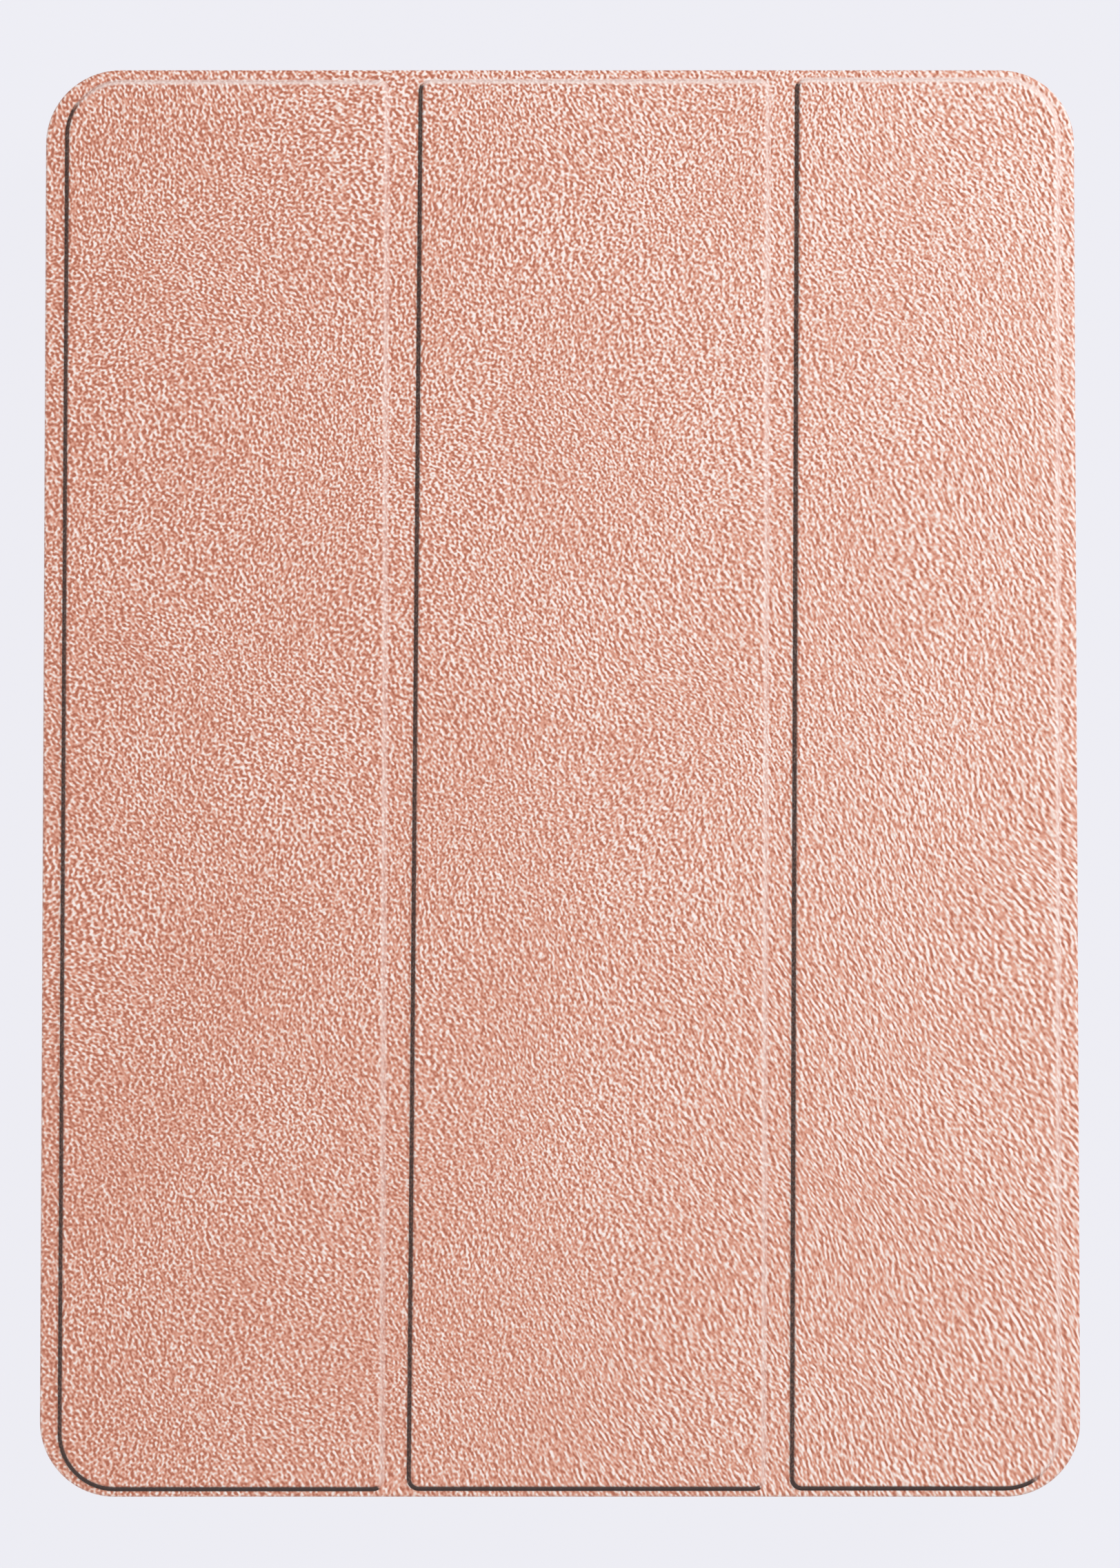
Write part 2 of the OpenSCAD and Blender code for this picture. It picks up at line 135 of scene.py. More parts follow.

# The cover's turned edge: distance out from its outline, height over the underside as a share, and how strong
# the painted highlight is that lightens its shaded down-left side
COVER_EDGE = [
    (-0.80, 1.00, 0.0),
    (-0.60, 0.99, 0.0),
    (-0.36, 0.95, 0.0),
    (-0.15, 0.85, 0.4),
    (-0.03, 0.68, 0.8),
    (0.00, 0.48, 0.8),
    (-0.04, 0.26, 0.4),
    (-0.18, 0.10, 0.0),
    (-0.42, 0.02, 0.0),
    (-0.85, 0.015, 0.0),
]


# ---- Outlines and skins ----

def rounded_loop(corners, radii, steps):
    """Points and outward normals round a four-sided outline, counter-clockwise, with rounded corners."""
    loop = []
    for i, (corner, radius) in enumerate(zip(corners, radii)):
        going_in = (corner - corners[i - 1]).normalized()
        going_out = (corners[(i + 1) % len(corners)] - corner).normalized()
        normal_in = Vector((going_in.y, -going_in.x))
        normal_out = Vector((going_out.y, -going_out.x))
        centre = corner - (normal_in + normal_out) * radius / (1 + normal_in.dot(normal_out))
        start = math.atan2(normal_in.y, normal_in.x)
        turn = (math.atan2(normal_out.y, normal_out.x) - start) % math.tau
        for k in range(steps + 1):
            angle = start + turn * k / steps
            normal = Vector((math.cos(angle), math.sin(angle)))
            loop.append((centre + normal * radius, normal))
    return loop


def cover_loop():
    corners = [Vector(c) for c in ((cover_left, cover_bottom), (cover_right, cover_bottom),
                                   (cover_right, cover_top), (cover_left, cover_top))]
    return rounded_loop(corners, [COVER_R] * 4, COVER_CORNER_STEPS)


def pad_loop(name, left_r, right_r):
    left, right = low(f"{name}_board").x - leather, high(f"{name}_board").x + leather
    lean_left, lean_right = LEANS[name]
    top, bottom = pad_top + RISES[name][0], pad_bottom + RISES[name][1]
    corners = [Vector(c) for c in ((left - lean_left, bottom), (right - lean_right, bottom),
                                   (right + lean_right, top), (left + lean_left, top))]
    return rounded_loop(corners, [left_r, right_r, right_r, left_r], PAD_CORNER_STEPS)


def smooth(x, start, end):
    """0 at start, 1 at end and an easy slope between; the start may be above the end."""
    t = min(1.0, max(0.0, (x - start) / (end - start)))
    return t * t * (3 - 2 * t)


def add_rings(bm, loop, profile, height_of):
    """Joined rings of vertices that follow a loop at each distance of a profile. Returns the rings."""
    rings = []
    for row in profile:
        offset = row[0] * MM
        ring = [bm.verts.new((*(p + n * offset), height_of(row))) for p, n in loop]
        rings.append(ring)
    for inner, outer in zip(rings, rings[1:]):
        for i in range(len(loop)):
            j = (i + 1) % len(loop)
            bm.faces.new((inner[i], outer[i], outer[j], inner[j]))
    return rings


def ring_edges(bm, ring):
    return [bm.edges.get((ring[i - 1], ring[i])) for i in range(len(ring))]


def cover_sheet():
    """The whole leather cover as one sheet: turned edge, flat border and three raised panels."""
    bm = bmesh.new()
    # Each vertex keeps how much painted shade and how much painted highlight its colour gets
    crease_shade = bm.verts.layers.float.new("crease_shade")
    painted_highlight = bm.verts.layers.float.new("painted_highlight")
    edge_rings = add_rings(bm, cover_loop(), COVER_EDGE,
                           lambda row: z_under + (z_border - z_under) * row[1])
    # Painted highlight on the rim where it faces down-left, away from the light
    for ring, (_, _, bright) in zip(edge_rings, COVER_EDGE):
        for vertex, (_, normal) in zip(ring, cover_loop()):
            vertex[painted_highlight] = bright * smooth(normal.x + normal.y, *RIM_HIGHLIGHT_FACING)
    border = ring_edges(bm, edge_rings[0])
    for name, left_r, right_r in (("inner", PAD_CORNER_R, PAD_FOLD_R), ("middle", PAD_FOLD_R, PAD_FOLD_R),
                                  ("outer", PAD_FOLD_R, PAD_CORNER_R)):
        loop = pad_loop(name, left_r, right_r)
        rings = add_rings(bm, loop, PAD_EDGE, lambda row: z_border + (z_pad - z_border) * row[1])
        for ring, (_, _, dark, bright) in zip(rings, PAD_EDGE):
            for vertex, (_, normal) in zip(ring, loop):
                facing = (normal.x + normal.y) / math.sqrt(2)
                lower, upper = max(0.0, -normal.y), max(0.0, normal.y)
                # Painted shade where the wall faces down-left, away from the light, stronger along lower edges
                vertex[crease_shade] = dark * smooth(facing, *SHADE_FACING) * (1 + LOWER_SHADE_GAIN * lower)
                # Painted highlight where the wall faces up-right, towards the light, stronger along upper edges
                vertex[painted_highlight] = bright * smooth(facing, *HIGHLIGHT_FACING) * (1 + upper)
        bm.faces.new(rings[0])
        border += ring_edges(bm, rings[-1])
    bmesh.ops.triangle_fill(bm, use_beauty=True, use_dissolve=False, normal=(0, 0, 1), edges=border)
    bmesh.ops.recalc_face_normals(bm, faces=bm.faces)
    if max(bm.faces, key=lambda f: f.calc_area()).normal.z < 0:
        bmesh.ops.reverse_faces(bm, faces=bm.faces)
    return bm


def cut_across(bm, positions):
    """Adds an edge right across the sheet at each X position."""
    for x in positions:
        bmesh.ops.bisect_plane(bm, geom=[*bm.verts, *bm.edges, *bm.faces],
                               plane_co=(x, 0, 0), plane_no=(1, 0, 0), dist=1e-7)


def piece_between(sheet, name, x_from, x_to):
    """The part of the sheet between two X positions, as an object."""
    bm = sheet.copy()
    outside = [f for f in bm.faces if not x_from < f.calc_center_median().x < x_to]
    bmesh.ops.delete(bm, geom=outside, context="FACES")
    return to_object(bm, name)


def to_object(bm, name):
    mesh = bpy.data.meshes.new(name)
    bm.to_mesh(mesh)
    bm.free()
    mesh.shade_smooth()
    piece = bpy.data.objects.new(name, mesh)
    bpy.context.scene.collection.objects.link(piece)
    return piece


def bent_strip(name, path, thickness, y_from, y_to):
    """A strip of leather or lining along Y whose cross-section follows a path of (x, z) points."""
    points = [Vector(p) for p in path]
    inner = []
    for i, p in enumerate(points):
        along = (points[min(i + 1, len(points) - 1)] - points[max(i - 1, 0)]).normalized()
        inner.append(p + Vector((along.y, -along.x)) * thickness)
    section = points + inner[::-1]
    bm = bmesh.new()
    ends = [[bm.verts.new((p.x, y, p.y)) for p in section] for y in (y_from, y_to)]
    count = len(section)
    for i in range(count):
        j = (i + 1) % count
        bm.faces.new((ends[0][i], ends[0][j], ends[1][j], ends[1][i]))
    half = len(points)
    for end in ends:
        for i in range(half - 1):
            bm.faces.new((end[i], end[i + 1], end[count - 2 - i], end[count - 1 - i]))
    bmesh.ops.recalc_face_normals(bm, faces=bm.faces)
    return to_object(bm, name)


# ---- Materials ----

class Shader:
    """A material built round one Principled shader. Constants go straight on its sockets."""

    def __init__(self, name, **sockets):
        self.material = bpy.data.materials.new(name)
        self.material.use_nodes = True
        self.tree = self.material.node_tree
        self.bsdf = self.tree.nodes["Principled BSDF"]
        for socket, value in sockets.items():
            self.bsdf.inputs[socket.replace("_", " ")].default_value = value

    def node(self, kind, inputs=(), **settings):
        made = self.tree.nodes.new("ShaderNode" + kind)
        for key, value in settings.items():
            setattr(made, key, value)
        for socket, value in dict(inputs).items():
            if isinstance(value, bpy.types.NodeSocket):
                self.tree.links.new(value, made.inputs[socket])
            else:
                made.inputs[socket].default_value = value
        return made

    def feed(self, socket, output):
        self.tree.links.new(output, self.bsdf.inputs[socket])

    def place(self):
        return self.node("TexCoord").outputs["Object"]

    def math(self, operation, a, b=0.0, c=0.0, clamp=False):
        made = self.node("Math", {0: a, 1: b, 2: c}, operation=operation, use_clamp=clamp)
        return made.outputs[0]

    def line(self, value, slope, start, clamp=False):
        """start + slope x value"""
        return self.math("MULTIPLY_ADD", value, slope, start, clamp)

    def noise(self, place, per_mm, detail, distortion=0.0):
        made = self.node("TexNoise", {"Vector": place, "Scale": per_mm / MM, "Detail": detail,
                                      "Distortion": distortion})
        return made.outputs[0]

    def ramp(self, value, stops, interpolation="LINEAR"):
        made = self.node("ValToRGB", {0: value})
        made.color_ramp.interpolation = interpolation
        elements = made.color_ramp.elements
        while len(elements) < len(stops):
            elements.new(0.5)
        for element, (position, shade) in zip(elements, stops):
            element.position = position
            element.color = (shade,) * 3 + (1,) if isinstance(shade, (int, float)) else (*shade, 1)
        return made.outputs[0]

    def mix(self, share, a, b):
        made = self.node("Mix", {0: share}, data_type="RGBA", clamp_factor=True)
        for socket, value in ((made.inputs[6], a), (made.inputs[7], b)):
            if isinstance(value, bpy.types.NodeSocket):
                self.tree.links.new(value, socket)
            else:
                socket.default_value = (*value, 1)
        return made.outputs[2]

    def bump(self, height, depth_mm):
        made = self.node("Bump", {"Height": height, "Distance": depth_mm * MM})
        self.feed("Normal", made.outputs[0])


ROSE_DARK = (0.415, 0.130, 0.075)
ROSE = (0.684, 0.338, 0.246)
ROSE_LIGHT = (0.760, 0.598, 0.536)
ROSE_PALE = (0.870, 0.772, 0.742)
# Pale painted highlight for the upper-right edges of the panels and the shaded side of the rim
ROSE_HIGHLIGHT = (0.822, 0.722, 0.682)
# Near-black painted shade for the lower-left creases of the raised panels
PAINTED_CREASE_SHADE = (0.042, 0.024, 0.020)


GRAIN_PER_MM = 1.57
COMBED_PER_MM = 1.67
GRAIN_TURN = (math.radians(-35), 0, math.radians(-60))
GRAIN_STRETCH = 0.52                                  # frequency along the combed strokes, as a share
GRAIN_SWAY = 0.012                                    # how far slow noise pulls the grain about, in metres
GRAIN_DEPTH_MM = 0.16

# Three points, in mm round each point, where the grain's height is sampled too. The first is towards the light,
# for the grain's painted shading
BESIDE = ((0.165, 0.060), (-0.134, 0.113), (-0.031, -0.173))
BESIDE_WEIGHT = -0.26

# Each share or tone below is a start plus so much of what the name says
COMBED_START, COMBED_RIGHT, COMBED_UP = 0.145, 0.83, -0.42
MIXED_GAIN = 1.6                                      # mixing two noises flattens them, so this scales them up
# Painted shading of the grain: its start and how much the combed grain changes it
GRAIN_SHADE_START, GRAIN_SHADE_COMBED = 1.5, 1.4
CREST_START, CREST_COMBED = 5.0, -2.4
# Painted shade: its start and its speckle
SHADE_START, SHADE_SPECKLE = 1.2, -0.5
# Painted highlight: its start, how much it grows to the right and how patchy it is
HIGHLIGHT_START, HIGHLIGHT_RIGHT, HIGHLIGHT_PATCHY = 0.1, 0.2, 0.9
HIGHLIGHT_SHARE = 0.66
CALMED = 0.3                                          # how much grain the painted shade or the painted highlight takes away
# The base tone carries a painted sheen that grows to the right and to the upper right
BASE_START, BASE_SHEEN_RIGHT, BASE_MOTTLE, BASE_SHEEN_UPPER_RIGHT = 0.315, 0.16, 0.15, 0.04
SHEEN_START = 0.3
RELIEF_START, RELIEF_MOTTLE, RELIEF_UP = 0.47, 0.58, 0.15


def leather_material():
    """Rose-gold imitation leather: a fine worm-like grain, combed down to the right, with painted light as if
    lit from
    the upper right: painted shading on the grain, painted shade in the panels' lower-left creases, painted
    highlights on their upper-right edges and the rim, and a painted sheen towards the upper right.
    """
    s = Shader("rose_leather", Roughness=0.5, Specular_IOR_Level=0.4, Sheen_Weight=0.05)
    place = s.place()
    sway = s.node("TexNoise", {"Vector": place, "Scale": 0.02 / MM, "Detail": 1.0}).outputs[1]
    pull = s.node("VectorMath", {0: sway, 1: (GRAIN_SWAY, GRAIN_SWAY, 0.0), 2: place},
                  operation="MULTIPLY_ADD").outputs[0]
    split = s.node("SeparateXYZ", {0: place})
    rightward = s.line(split.outputs[0], 1 / (cover_right - cover_left), 0.5)
    upward = s.line(split.outputs[1], 1 / (cover_top - cover_bottom), 0.5)
    combed_share = s.line(upward, COMBED_UP, s.line(rightward, COMBED_RIGHT, COMBED_START), clamp=True)
    even_share = s.math("SUBTRACT", 1.0, combed_share)
    regain = s.line(s.math("MULTIPLY", combed_share, even_share), MIXED_GAIN, 1.0)

    def grain(at):
        turned = s.node("VectorRotate", {"Vector": at, "Rotation": GRAIN_TURN},
                        rotation_type="EULER_XYZ", invert=True).outputs[0]
        stretched = s.node("VectorMath", {0: turned, 1: (GRAIN_STRETCH, 1.0, 1.0)},
                           operation="MULTIPLY").outputs[0]
        even = s.noise(turned, GRAIN_PER_MM, detail=0.0)
        combed = s.noise(stretched, COMBED_PER_MM, detail=0.0)
        mixed = s.node("Mix", {0: combed_share, 2: even, 3: combed}).outputs[0]
        return s.math("MULTIPLY", s.math("SUBTRACT", mixed, 0.5), regain)

    height = grain(pull)
    lit, second, third = (
        grain(s.node("VectorMath", {0: pull, 1: (x * MM, y * MM, 0.0)}, operation="ADD").outputs[0])
        for x, y in BESIDE)
    around = s.math("ADD", s.math("ADD", lit, second), third)
    # Painted shading of the grain: lighter on slopes that face the light at the upper right, darker on slopes
    # that face away
    painted_grain_shade = s.math("MULTIPLY", s.math("SUBTRACT", height, lit),
                   s.line(combed_share, GRAIN_SHADE_COMBED, GRAIN_SHADE_START))
    crest = s.math("MULTIPLY", s.line(around, BESIDE_WEIGHT, height),
                   s.line(combed_share, CREST_COMBED, CREST_START))

    # Painted shade in the lower-left creases of the panels, broken up by a faint speckle
    shade_speckle = s.line(s.noise(place, 2.2, detail=0.0), SHADE_SPECKLE, SHADE_START)
    shade_line = s.node("Attribute", attribute_name="crease_shade").outputs["Fac"]
    crease_shade = s.math("MULTIPLY", shade_line, shade_speckle, clamp=True)
    # Painted highlight on the panels' upper-right edges and on the rim, patchy and stronger to the right
    highlight_patches = s.line(s.noise(place, 0.6, detail=2.0), HIGHLIGHT_PATCHY, s.line(rightward, HIGHLIGHT_RIGHT, HIGHLIGHT_START))
    highlight_band = s.node("Attribute", attribute_name="painted_highlight").outputs["Fac"]
    painted_highlight = s.math("MULTIPLY", highlight_band, highlight_patches, clamp=True)
    calm = s.math("SUBTRACT", 1.0, s.math("MULTIPLY", s.math("MAXIMUM", painted_highlight, crease_shade), CALMED))

    mottle = s.noise(place, 0.05, detail=3.0)
    # Painted sheen: the base tone grows paler to the right and more so to the upper right, where the soft light
    # reflects
    painted_sheen = s.math("MULTIPLY", upward, s.math("ADD", rightward, SHEEN_START))
    base = s.line(mottle, BASE_MOTTLE, s.line(rightward, BASE_SHEEN_RIGHT, BASE_START))
    base = s.line(painted_sheen, BASE_SHEEN_UPPER_RIGHT, base)
    strength = s.line(upward, RELIEF_UP, s.line(mottle, RELIEF_MOTTLE, RELIEF_START))
    # The tone is the grain's own ridge tone plus its painted shading and the painted sheen, so the ramp's pale
    # and dark ends carry painted highlight and painted shade as well as the leather's colour
    relief = s.math("MULTIPLY", s.math("ADD", painted_grain_shade, crest), strength)
    tone = s.math("MULTIPLY_ADD", relief, calm, base)
    colour = s.ramp(tone, [(0.0, ROSE_DARK), (0.48, ROSE), (0.78, ROSE_LIGHT), (1.0, ROSE_PALE)])
    # The painted highlight is laid over the grain's colour
    colour = s.mix(s.math("MULTIPLY", painted_highlight, HIGHLIGHT_SHARE), colour, ROSE_HIGHLIGHT)
    # The painted shade goes on last, over everything
    colour = s.mix(crease_shade, colour, PAINTED_CREASE_SHADE)
    s.feed("Base Color", colour)
    s.bump(s.math("MULTIPLY", height, calm), GRAIN_DEPTH_MM)
    return s.material


def suede_material():
    """Grey-brown napped lining, brushed in soft patches."""
    s = Shader("suede_lining", Roughness=0.95, Sheen_Weight=0.5, Sheen_Roughness=0.5)
    place = s.place()
    brushed = s.noise(place, 0.05, detail=4.0)
    nap = s.noise(place, 5.0, detail=2.0)
    tone = s.line(nap, 0.35, s.math("MULTIPLY", brushed, 0.7))
    s.feed("Base Color", s.ramp(tone, [(0.3, (0.20, 0.165, 0.16)), (0.75, (0.36, 0.31, 0.30))]))
    s.bump(nap, 0.06)
    return s.material


def moulded_material(name, dark, light, roughness, grain_per_mm, depth, metallic=0.0):
    """Moulded plastic, rubber, coated board or blasted metal: a fine grain over slow changes of tone."""
    s = Shader(name, Metallic=metallic)
    place = s.place()
    grain = s.noise(place, grain_per_mm, detail=2.0)
    slow = s.noise(place, 0.03, detail=2.0)
    tone = s.line(grain, 0.4, s.math("MULTIPLY", slow, 0.6))
    s.feed("Base Color", s.ramp(tone, [(0.3, dark), (0.7, light)]))
    s.feed("Roughness", s.ramp(tone, [(0.3, roughness - 0.06), (0.7, roughness + 0.06)]))
    s.bump(grain, depth)
    return s.material


def screen_material():
    """Black glass: a printed border, the dark display behind it and faint smears on top."""
    s = Shader("screen_glass", Specular_IOR_Level=0.6, Coat_Weight=0.3, Coat_Roughness=0.03)
    place = s.place()
    centre = (low("cover_glass") + high("cover_glass")) / 2
    half = (high("display_panel") - low("display_panel")) / 2
    away = s.node("VectorMath", {0: place, 1: tuple(centre)}, operation="SUBTRACT").outputs[0]
    size = s.node("SeparateXYZ", {0: s.node("VectorMath", {0: away}, operation="ABSOLUTE").outputs[0]})
    edge = s.math("MAXIMUM", s.math("SUBTRACT", size.outputs[0], half.x),
                  s.math("SUBTRACT", size.outputs[1], half.y))
    border = s.math("GREATER_THAN", edge, 0.0)
    s.feed("Base Color", s.mix(border, (0.016, 0.018, 0.022), (0.004, 0.004, 0.005)))
    smear = s.noise(place, 0.08, detail=4.0, distortion=0.8)
    s.feed("Roughness", s.ramp(smear, [(0.45, 0.04), (0.80, 0.09)]))
    return s.material


def lens_material():
    """Dark coated camera glass with rings of the barrel showing in it."""
    s = Shader("lens_glass", Roughness=0.06)
    place = s.place()
    centre = (low("camera_lens") + high("camera_lens")) / 2
    away = s.node("VectorMath", {0: place, 1: tuple(centre)}, operation="SUBTRACT").outputs[0]
    flat = s.node("VectorMath", {0: away, 1: (1, 1, 0)}, operation="MULTIPLY").outputs[0]
    radius = s.node("VectorMath", {0: flat}, operation="LENGTH").outputs["Value"]
    share = s.math("DIVIDE", radius, high("camera_lens").x - centre.x)
    rings = [(0.0, (0.010, 0.012, 0.050)), (0.20, (0.030, 0.022, 0.110)), (0.30, (0.001, 0.001, 0.002)),
             (0.42, (0.016, 0.016, 0.020)), (0.46, (0.002, 0.002, 0.002)), (0.70, (0.060, 0.060, 0.066)),
             (0.75, (0.004, 0.004, 0.005))]
    s.feed("Base Color", s.ramp(share, rings, "CONSTANT"))
    return s.material


LEATHER = leather_material()
SUEDE = suede_material()
FINISHES = {
    "rose_leather": LEATHER,
    "suede_lining": SUEDE,
    "screen_glass": screen_material(),
    "lens_glass": lens_material(),
    "key_rubber": moulded_material("key_rubber", (0.58, 0.34, 0.28), (0.68, 0.42, 0.35), 0.6, 3.0, 0.02),
    "stiff_board": moulded_material("stiff_board", (0.10, 0.09, 0.08), (0.16, 0.15, 0.13), 0.9, 2.0, 0.05),
    "shell_plastic": moulded_material("shell_plastic", (0.70, 0.45, 0.38), (0.78, 0.53, 0.46), 0.45, 4.0,
                                      0.012),
    "housing_aluminium": moulded_material("housing_aluminium", (0.55, 0.56, 0.58), (0.66, 0.67, 0.69), 0.38,
                                          8.0, 0.006, metallic=1.0),
    "display_layers": moulded_material("display_layers", (0.015, 0.015, 0.02), (0.025, 0.025, 0.03), 0.2,
                                       3.0, 0.002),
    "shield_steel": moulded_material("shield_steel", (0.45, 0.45, 0.46), (0.58, 0.58, 0.60), 0.4, 2.0,
                                     0.004, metallic=1.0),
    "magnet_metal": moulded_material("magnet_metal", (0.60, 0.60, 0.62), (0.72, 0.72, 0.74), 0.25, 2.0,
                                     0.003, metallic=1.0),
    "adhesive": moulded_material("adhesive", (0.01, 0.01, 0.01), (0.02, 0.02, 0.02), 0.8, 2.0, 0.01),
    "flex_gold": moulded_material("flex_gold", (0.42, 0.24, 0.07), (0.55, 0.33, 0.10), 0.35, 2.0, 0.004),
    "circuit_board": moulded_material("circuit_board", (0.012, 0.05, 0.028), (0.025, 0.09, 0.05), 0.4, 1.2,
                                      0.01),
    "black_plastic": moulded_material("black_plastic", (0.010, 0.010, 0.011), (0.020, 0.020, 0.022), 0.5,
                                      4.0, 0.01),
    "battery_wrap": moulded_material("battery_wrap", (0.020, 0.020, 0.023), (0.035, 0.035, 0.038), 0.45,
                                     1.5, 0.01),
    "lamp_lens": moulded_material("lamp_lens", (0.75, 0.70, 0.52), (0.85, 0.82, 0.70), 0.2, 1.5, 0.02),
}


def paint(piece, material):
    piece.data.materials.clear()
    piece.data.materials.append(material)


def soften(node, width_mm):
    """Rounds a CAD node's hard edges a little, as moulding or machining does."""
    weld = nodes[node].modifiers.new("weld", "WELD")
    weld.merge_threshold = 1e-6
    flatten = nodes[node].modifiers.new("flatten", "DECIMATE")
    flatten.decimate_type = "DISSOLVE"
    flatten.angle_limit = math.radians(0.6)
    bevel = nodes[node].modifiers.new("bevel", "BEVEL")
    bevel.width = width_mm * MM
    bevel.segments = 3
    bevel.angle_limit = math.radians(40)
    smooth_faces = nodes[node].modifiers.new("smooth_faces", "WEIGHTED_NORMAL")
    smooth_faces.keep_sharp = False


# ---- The leather cover ----

def between(left_node, right_node):
    """The two ends, in X, of the leather that bends between two panels."""
    left, right = high(left_node).x, low(right_node).x
    trim = FOLD_TRIM * (right - left)
    return left + trim, right - trim


def dress_cover():
    """Cuts the leather sheet into stiff panels and the strips over the folds between them. Returns the X where
    the hinge ends.
    """
    hinge_end = low("inner_leather").x
    fold_a = between("inner_leather", "middle_leather")
    fold_b = between("middle_leather", "outer_leather")
    sheet = cover_sheet()
    strips = [(cover_left, hinge_end), fold_a, fold_b]
    cuts = [a + (b - a) * k / FOLD_SLICES for a, b in strips for k in range(1, FOLD_SLICES)]
    cut_across(sheet, cuts + [hinge_end, *fold_a, *fold_b])
    stiff = [("inner", hinge_end, fold_a[0]), ("middle", fold_a[1], fold_b[0]),
             ("outer", fold_b[1], cover_right + MM)]
    for name, x_from, x_to in stiff:
        piece = piece_between(sheet, f"{name}_leather_skin", x_from, x_to)
        paint(piece, LEATHER)
        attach(piece, f"{name}_panel")
        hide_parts(f"{name}_leather")
    folds = [("inner_fold", "inner", "middle", fold_a), ("outer_fold", "middle", "outer", fold_b)]
    for name, panel_a, panel_b, (x_from, x_to) in folds:
        piece = piece_between(sheet, f"{name}_skin", x_from, x_to)
        paint(piece, LEATHER)
        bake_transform(piece)
        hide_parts(f"{name}_strip")
        lining_depth = high("inner_lining").z - low("inner_lining").z
        far, near = low(f"{panel_b}_lining").x, high(f"{panel_a}_lining").x
        path = [(far, z_under), *((x_to + (x_from - x_to) * k / FOLD_SLICES, z_under)
                                  for k in range(FOLD_SLICES + 1)), (near, z_under)]
        lining = bent_strip(f"{name}_lining", path, lining_depth, low("inner_lining").y,
                            high("inner_lining").y)
        paint(lining, SUEDE)
        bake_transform(lining)
    hinge = piece_between(sheet, "cover_hinge_skin", cover_left - MM, hinge_end)
    paint(hinge, LEATHER)
    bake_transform(hinge)
    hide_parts("cover_hinge_strip")
    sheet.free()
    return hinge_end


def dress_spine(hinge_end):
    """The leather wraps from the cover's left edge down the spine and round onto the back."""
    y_from, y_to = low("spine_leather").y, high("spine_leather").y
    z_low, z_high = low("spine_leather").z, high("spine_leather").z
    back_edge, back_t = low("back_leather").x, high("back_leather").z

    spine = bent_strip("spine_skin", [(cover_left, z_low + (z_high - z_low) * k / SPINE_STEPS)
                                      for k in range(SPINE_STEPS + 1)], leather, y_from, y_to)
    paint(spine, LEATHER)
    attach(spine, "spine")
    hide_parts("spine_leather")

    upper = bent_strip("spine_top_skin", [(cover_left, z_high + (z_mid - z_high) * k / SPINE_STEPS)
                                          for k in range(SPINE_STEPS + 1)], leather, y_from, y_to)
    paint(upper, LEATHER)
    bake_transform(upper)

    radius = back_edge - cover_left - BACK_HINGE_GAP
    arc = [(cover_left + radius * (1 - math.sin(a)), radius * (1 - math.cos(a)))
           for a in (math.pi / 2 * k / SPINE_STEPS for k in range(SPINE_STEPS + 1))]
    path = [(back_edge, 0.0), *arc, (cover_left, z_low)]
    lower = bent_strip("back_hinge_skin", path, back_t, y_from, y_to)
    paint(lower, LEATHER)
    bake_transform(lower)
    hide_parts("back_hinge_strip")


dress_spine(dress_cover())


# ---- Finishes on the CAD nodes that show ----

for part in frame["record"]["subparts"]:
    paint(nodes[part["node"]], FINISHES[part["material_slot"]])

BEVELS_MM = {
    "case_shell": 0.22,
    "back_leather": 0.15,
    "rear_housing": 0.15,
    "cover_glass": 0.12,
    "camera_ring": 0.15,
    "power_key_cover": 0.3,
    "volume_up_cover": 0.3,
    "volume_down_cover": 0.3,
}
for bevelled, width in BEVELS_MM.items():
    soften(bevelled, width)


# ---- Studio ----

FLOOR_SIZE = 6.0
FLOOR_DROP = z_pad + 11 * MM                          # room for the cover folded right back
FLOOR_GLOW = (0.842, 0.842, 0.898, 1)
LIGHT_DISTANCE = 1.6
WORLD_COLOUR, WORLD_STRENGTH = (1.0, 0.98, 0.98, 1), 0.45
CAMERA_TILT = math.radians(3.07)
CAMERA_DROP = 1 * MM                                  # how far below the cover's middle the camera aims
CAMERA_AWAY = 4                                       # distance, in cover heights
FRAMED = 1.096                                        # height that fills the frame, in cover heights
SENSOR_MM = 36


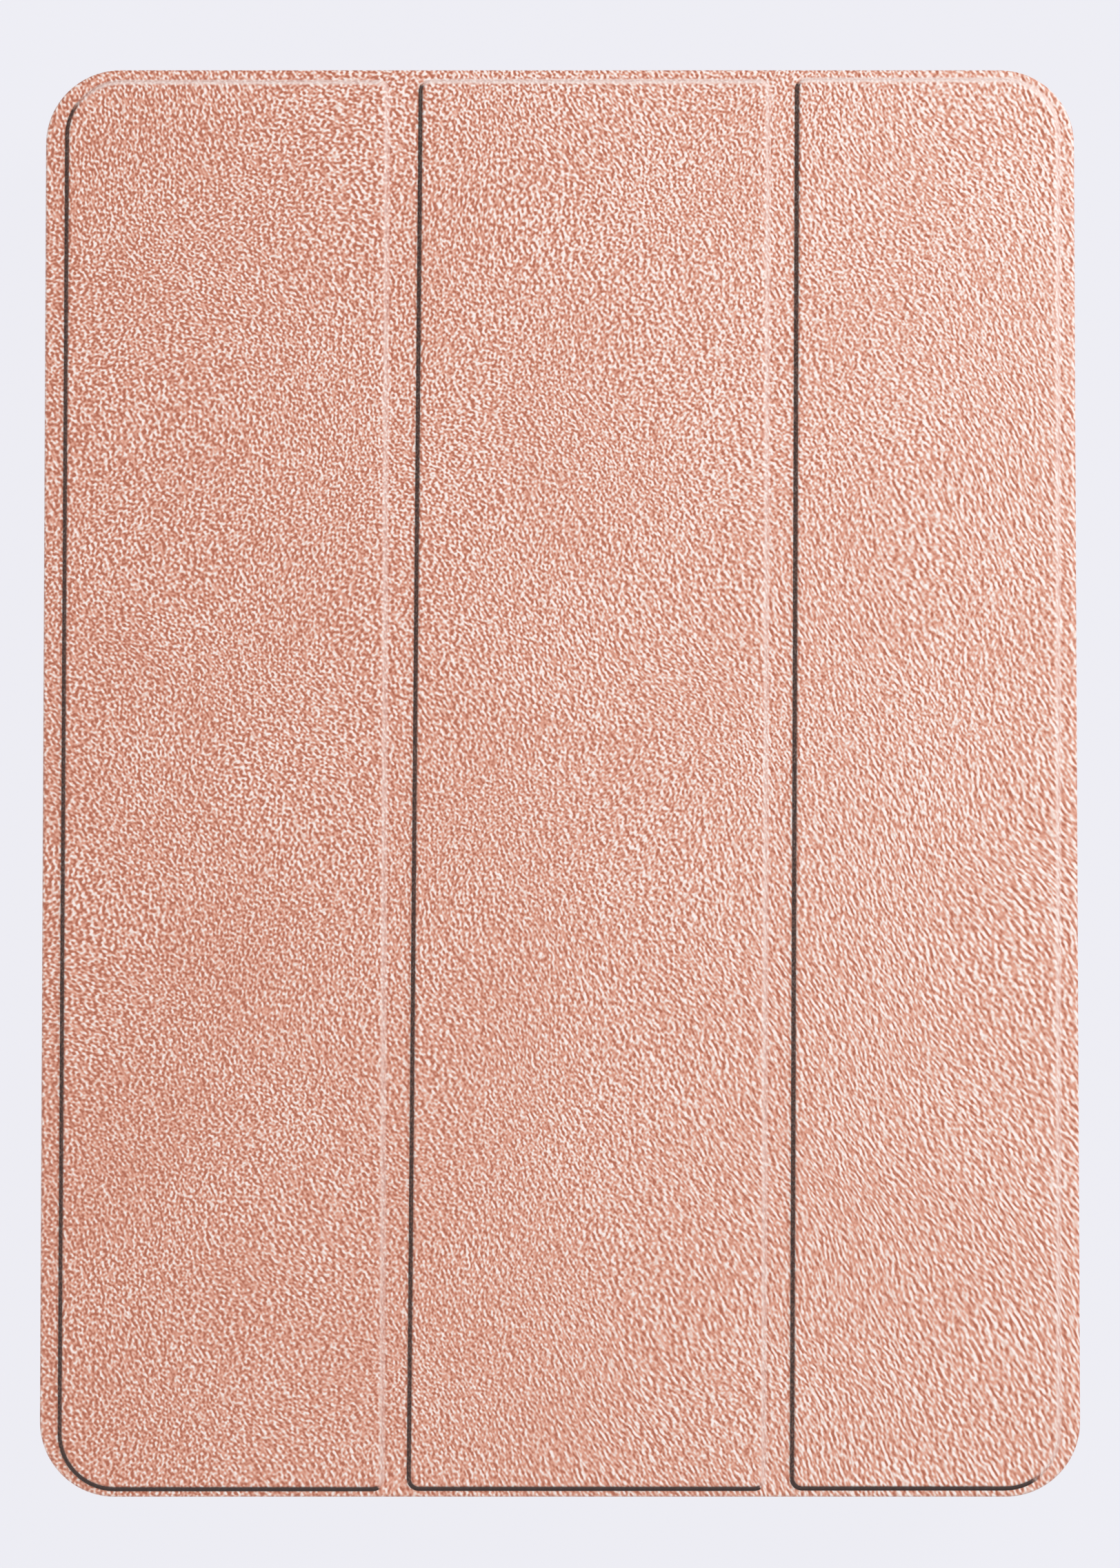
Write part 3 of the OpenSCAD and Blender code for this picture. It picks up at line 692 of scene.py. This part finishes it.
def floor():
    """A pale floor that glows, so the case casts only a faint shadow. It is clear from below."""
    bpy.ops.mesh.primitive_plane_add(size=FLOOR_SIZE, location=(0, 0, -FLOOR_DROP))
    plane = bpy.context.object
    plane.name = "floor"
    material = bpy.data.materials.new("pale_floor")
    material.use_nodes = True
    tree = material.node_tree
    out = tree.nodes["Material Output"]
    bsdf = tree.nodes["Principled BSDF"]
    bsdf.inputs["Base Color"].default_value = (0.02, 0.02, 0.02, 1)
    bsdf.inputs["Roughness"].default_value = 1.0
    bsdf.inputs["Specular IOR Level"].default_value = 0.0
    bsdf.inputs["Emission Color"].default_value = FLOOR_GLOW
    bsdf.inputs["Emission Strength"].default_value = 0.99
    material.cycles.emission_sampling = "NONE"
    clear = tree.nodes.new("ShaderNodeBsdfTransparent")
    side = tree.nodes.new("ShaderNodeNewGeometry")
    mix = tree.nodes.new("ShaderNodeMixShader")
    tree.links.new(side.outputs["Backfacing"], mix.inputs[0])
    tree.links.new(bsdf.outputs[0], mix.inputs[1])
    tree.links.new(clear.outputs[0], mix.inputs[2])
    tree.links.new(mix.outputs[0], out.inputs["Surface"])
    paint(plane, material)


def area_light(name, direction, size, watts):
    light = bpy.data.lights.new(name, "AREA")
    light.size = size
    light.energy = watts
    lamp = bpy.data.objects.new(name, light)
    lamp.location = Vector(direction).normalized() * LIGHT_DISTANCE
    lamp.rotation_mode = "QUATERNION"
    lamp.rotation_quaternion = Vector(direction).to_track_quat("Z", "Y")
    bpy.context.scene.collection.objects.link(lamp)


def studio():
    floor()
    area_light("key", (0.84, 0.54, 0.95), size=0.6, watts=19)
    area_light("fill", (-0.8, -0.6, 0.7), size=1.2, watts=9)
    world = bpy.data.worlds.new("world")
    world.use_nodes = True
    background = world.node_tree.nodes["Background"]
    background.inputs["Color"].default_value = WORLD_COLOUR
    background.inputs["Strength"].default_value = WORLD_STRENGTH
    bpy.context.scene.world = world
    bpy.context.scene.view_settings.view_transform = "Standard"


def camera():
    """Straight on to the cover, a little below its middle, so that its lower edge is slightly nearer."""
    middle = (cover_bottom + cover_top) / 2
    target = Vector(((cover_left + cover_right) / 2, middle - CAMERA_DROP, z_pad))
    distance = CAMERA_AWAY * (cover_top - cover_bottom)
    data = bpy.data.cameras.new("camera")
    data.sensor_width = SENSOR_MM
    data.lens = SENSOR_MM * CAMERA_AWAY / FRAMED
    eye = bpy.data.objects.new("camera", data)
    eye.location = target + Vector((0, -math.sin(CAMERA_TILT), math.cos(CAMERA_TILT))) * distance
    eye.rotation_euler = (CAMERA_TILT, 0, 0)
    bpy.context.scene.collection.objects.link(eye)
    bpy.context.scene.camera = eye


studio()
camera()
